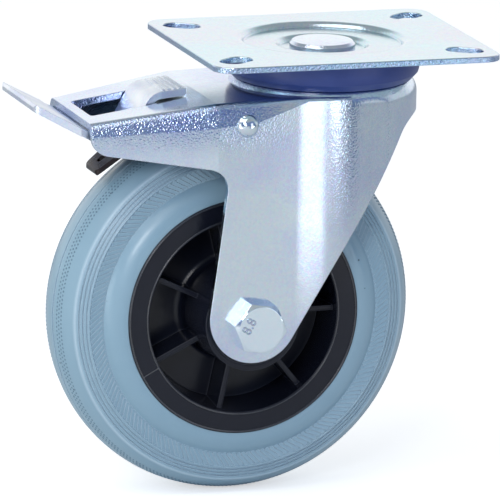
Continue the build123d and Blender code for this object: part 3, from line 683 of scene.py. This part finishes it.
# Their edges get a painted highlight, paler still.
bead_gloss = moulded_plastic(
    "rim_bead_gloss",
    dark=(0.010, 0.011, 0.016, 1),
    pale=(0.030, 0.032, 0.040, 1),
    roughness=0.18,
    relief=0.05,
    gloss_level=0.9,
    edge_highlight_colour=(0.060, 0.065, 0.080, 1),
)


def far_copy(near, name):
    """Copy a piece of the near side to the far side, as its mirror image."""
    bpy.ops.object.select_all(action="DESELECT")
    near.select_set(True)
    bpy.context.view_layer.objects.active = near
    bpy.ops.object.duplicate()
    far = bpy.context.object
    far.name = name
    bpy.ops.object.mode_set(mode="EDIT")
    bpy.ops.mesh.select_all(action="SELECT")
    bpy.ops.transform.resize(value=(1, -1, 1), center_override=(0, 0, 0))
    face_outwards()
    return far


def add_bead(radius):
    """Add one round lip, flat about the origin."""
    bpy.ops.mesh.primitive_torus_add(
        major_segments=144, minor_segments=8, major_radius=radius, minor_radius=bead_thick
    )


add_bead(bead_radii[0])
near_beads = bpy.context.object
near_beads.name = "rim_beads_near"
bpy.ops.object.mode_set(mode="EDIT")
add_bead(bead_radii[1])
parting_reach = (bead_radii[0] + bead_radii[1]) / 2
bpy.ops.mesh.primitive_cylinder_add(
    vertices=8,
    radius=parting_thick,
    depth=bead_radii[1] - bead_radii[0],
    location=(-parting_reach * math.cos(parting_turn), -parting_reach * math.sin(parting_turn), 0),
    rotation=(0, math.pi / 2, parting_turn),
)
bpy.ops.mesh.select_all(action="SELECT")
bpy.ops.transform.rotate(value=-math.pi / 2, orient_axis="X", center_override=(0, 0, 0))
bpy.ops.transform.translate(value=(axle_x, -flange_face, axle_z))
face_outwards()
near_beads.data.materials.append(bead_gloss)
for beads in (near_beads, far_copy(near_beads, "rim_beads_far")):
    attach(beads, "wheel")
bpy.ops.object.select_all(action="DESELECT")

# ---------------------------------------------------------------- tyre
# Grey-blue non-marking rubber, moulded on the rim. Its rings are finely hatched, highlights
# are painted on their ridges and round its crown, and dark specks lie in its skin.
rubber_dark = (0.27, 0.44, 0.55, 1)
rubber_pale = (0.33, 0.50, 0.60, 1)
speck_colour = (0.06, 0.10, 0.15, 1)
ridge_highlight_colour = (0.57, 0.71, 0.81, 1)
crown_highlight_colour = (0.50, 0.66, 0.76, 1)
hatch_count = 300
# Radii from the axle, each from where its mark starts to show to where it shows in full.
band_start = (0.0474, 0.0476)
rings_start = (0.0528, 0.0530)
rings_end = (0.0572, 0.0570)
crown_start = (0.0566, 0.0573)
crown_end = (0.0580, 0.0574)


def tyre_rubber():
    """Make the tyre's rubber, with its specks, hatched rings, and painted highlights on its ridges and
    crown.
    """
    material, tree, rubber_skin = new_material("tyre_rubber")
    rubber_skin.inputs["Coat Weight"].default_value = 0.3
    rubber_skin.inputs["Coat Roughness"].default_value = 0.22
    place = add_node(tree, "TexCoord").outputs["Object"]
    bloom = add_node(tree, "TexNoise", {"Vector": place, "Scale": 45, "Detail": 5, "Distortion": 0.8})
    pores = add_node(tree, "TexNoise", {"Vector": place, "Scale": 1400, "Detail": 2}).outputs["Fac"]
    cells = add_node(tree, "TexVoronoi", {"Vector": place, "Scale": 75})
    speck = ramp(tree, cells.outputs["Distance"], start=0.035, end=0.02)
    grey_blue = blend(tree, bloom.outputs["Fac"], rubber_dark, rubber_pale)
    specked = blend(tree, speck, grey_blue, speck_colour)

    axle_point = (axle_x, 0, axle_z)
    from_axle = add_node(tree, "VectorMath", {0: place, 1: axle_point}, operation="SUBTRACT").outputs[0]
    across = add_node(tree, "VectorMath", {0: from_axle, 1: (1, 0, 1)}, operation="MULTIPLY").outputs[0]
    reach = add_node(tree, "VectorMath", {0: across}, operation="LENGTH").outputs["Value"]
    # A painted highlight on ridges outside the sunk band, and another as a ring round the crown.
    ridge_highlight = add_node(tree, "Group", {"Radius": 0.0004}, node_tree=edge_highlight_group).outputs["Mask"]
    ridge_highlighted = blend(tree, product(tree, ridge_highlight, ramp(tree, reach, *band_start)), specked, ridge_highlight_colour)
    crown = product(tree, ramp(tree, reach, *crown_start), ramp(tree, reach, *crown_end))
    painted_highlights = blend(tree, crown, ridge_highlighted, crown_highlight_colour)

    spokes = add_node(tree, "SeparateXYZ", {0: from_axle}).outputs
    angle = add_node(tree, "Math", {0: spokes["X"], 1: spokes["Z"]}, operation="ARCTAN2").outputs[0]
    lines = add_node(tree, "Math", {0: product(tree, angle, hatch_count)}, operation="SINE").outputs[0]
    rings = product(tree, ramp(tree, reach, *rings_start), ramp(tree, reach, *rings_end))
    height = add_share(tree, product(tree, lines, rings), share=0.6, base=pores)
    satin = add_share(tree, pores, share=0.12, base=0.27)
    normal = relief_normal(tree, height, strength=0.25, distance=0.0001, edge=0.0003)
    tree.links.new(painted_highlights, rubber_skin.inputs["Base Color"])
    tree.links.new(satin, rubber_skin.inputs["Roughness"])
    tree.links.new(normal, rubber_skin.inputs["Normal"])
    return material


rubber = tyre_rubber()
wear("tyre", rubber)

# ---------------------------------------------------------------- tyre serrations
# The band of slanted teeth that is moulded in the sunk side of the tyre, between the
# bulged foot and the rings. Each tooth rises from its heel to its ridge, like a ratchet's.
serration_count = 180
serration_foot = 0.0479
serration_tip = 0.0523
serration_turn = math.radians(38)
serration_rise = 0.00028
serration_heel = 0.00002
serration_sink = 0.00005
serration_fill = 0.96
band_face = 0.015


def spin_round_axle(count):
    """Repeat the mesh being edited evenly round the axle."""
    bpy.ops.mesh.select_all(action="SELECT")
    bpy.ops.mesh.spin(
        steps=count - 1,
        dupli=True,
        angle=2 * math.pi * (count - 1) / count,
        center=(axle_x, 0, axle_z),
        axis=(0, 1, 0),
    )


band_middle = (serration_foot + serration_tip) / 2
tooth_length = (serration_tip - serration_foot) / math.cos(serration_turn)
tooth_pitch = 2 * math.pi * band_middle / serration_count * math.cos(serration_turn)
tooth_centre = Vector((axle_x, serration_sink - band_face - serration_rise / 2, axle_z + band_middle))
bpy.ops.mesh.primitive_cube_add(size=1, location=tooth_centre)
near_serrations = bpy.context.object
near_serrations.name = "tyre_serrations_near"
near_serrations.scale = (tooth_pitch * serration_fill, serration_rise + 2 * serration_sink, tooth_length)
near_serrations.rotation_euler = (0, -serration_turn, 0)
bpy.ops.object.transform_apply(location=True, rotation=True, scale=True)
bpy.ops.object.mode_set(mode="EDIT")
bpy.ops.mesh.select_mode(type="VERT")
bpy.ops.mesh.select_all(action="DESELECT")
bpy.ops.object.mode_set(mode="OBJECT")
tooth_slope = Vector((math.cos(serration_turn), 0, math.sin(serration_turn)))
for corner in near_serrations.data.vertices:
    at_heel = (corner.co - tooth_centre).dot(tooth_slope) < 0
    corner.select = at_heel and corner.co.y < -band_face
bpy.ops.object.mode_set(mode="EDIT")
bpy.ops.transform.translate(value=(0, serration_rise - serration_heel, 0))
spin_round_axle(serration_count)
face_outwards()
near_serrations.data.materials.append(rubber)
for serrations in (near_serrations, far_copy(near_serrations, "tyre_serrations_far")):
    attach(serrations, "wheel")
bpy.ops.object.select_all(action="DESELECT")

# ---------------------------------------------------------------- tread knurl
# Two strips of small pointed studs round the tread, three staggered rows in each, moulded
# with the tyre. They are painted darker than the rubber around them, as painted shade.
knurl_count = 275
knurl_rows = (-0.0084, -0.0073, -0.0062, 0.0062, 0.0073, 0.0084)
stud_foot = 0.0006
stud_tip = 0.0001
stud_height = 0.00025
stud_lift = 0.00005
tread_arc = 0.02015
tyre_low, tyre_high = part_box("tyre")
tyre_radius = (tyre_high.x - tyre_low.x) / 2
stud_shade_dark = (0.12, 0.21, 0.29, 1)
stud_shade_pale = (0.19, 0.31, 0.40, 1)

for index, row in enumerate(knurl_rows):
    lean = math.asin(row / tread_arc)
    drop = tread_arc * (1 - math.cos(lean))
    stud_reach = tyre_radius - drop + stud_lift
    stagger = (index % 2) * math.pi / knurl_count
    bpy.ops.mesh.primitive_cone_add(
        vertices=4,
        radius1=stud_foot,
        radius2=stud_tip,
        depth=stud_height,
        location=(axle_x + stud_reach * math.sin(stagger), row, axle_z + stud_reach * math.cos(stagger)),
        rotation=(-lean, stagger, 0),
    )
    # The first stud starts the piece, and the others are added to its mesh.
    if index == 0:
        knurl = bpy.context.object
        knurl.name = "tyre_knurl"
        bpy.ops.object.transform_apply(location=True, rotation=True, scale=True)
        bpy.ops.object.mode_set(mode="EDIT")
spin_round_axle(knurl_count)
face_outwards()
# The studs' darker rubber is painted shade.
knurl.data.materials.append(
    moulded_plastic("knurl_rubber", stud_shade_dark, stud_shade_pale, roughness=0.5)
)
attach(knurl, "wheel")
bpy.ops.object.select_all(action="DESELECT")

# ---------------------------------------------------------------- brake pin and pedal
# Domed cross pin through the canopy, which carries the leaf, and the pedal, one bent sheet
# with foot plate, hood and ridged tongue. Shoes have rubbed the pedal's plating dull.
pedal_white = (0.88, 0.92, 0.95, 1)
wear("brake_pin", zinc_finish("pin_zinc", dullness=0.03, relief=0.05))
wear("brake_pedal", zinc_finish("pedal_zinc", zinc=pedal_white, dullness=0.28, relief=0.08))

# ---------------------------------------------------------------- brake leaf
# Spring-steel leaf with two rolled eyes, which the pedal presses on the tread. It is
# hardened and left in its black oxide, browner where the oil has dried.
oxide_black = (0.018, 0.017, 0.021, 1)
oxide_brown = (0.050, 0.040, 0.040, 1)


def black_oxide():
    """Make blackened spring steel with cloudy temper colours."""
    material, tree, spring_steel = new_material("leaf_black")
    spring_steel.inputs["Metallic"].default_value = 1.0
    place = add_node(tree, "TexCoord").outputs["Object"]
    oxide = add_node(tree, "TexNoise", {"Vector": place, "Scale": 260, "Detail": 5}).outputs["Fac"]
    normal = relief_normal(tree, oxide, strength=0.15, distance=0.0001, edge=0.0003)
    tree.links.new(blend(tree, oxide, oxide_black, oxide_brown), spring_steel.inputs["Base Color"])
    tree.links.new(add_share(tree, oxide, share=0.25, base=0.18), spring_steel.inputs["Roughness"])
    tree.links.new(normal, spring_steel.inputs["Normal"])
    return material


wear("brake_leaf", black_oxide())

# ---------------------------------------------------------------- picture
# Colours are shown as they are written.
bpy.context.scene.view_settings.view_transform = "Standard"
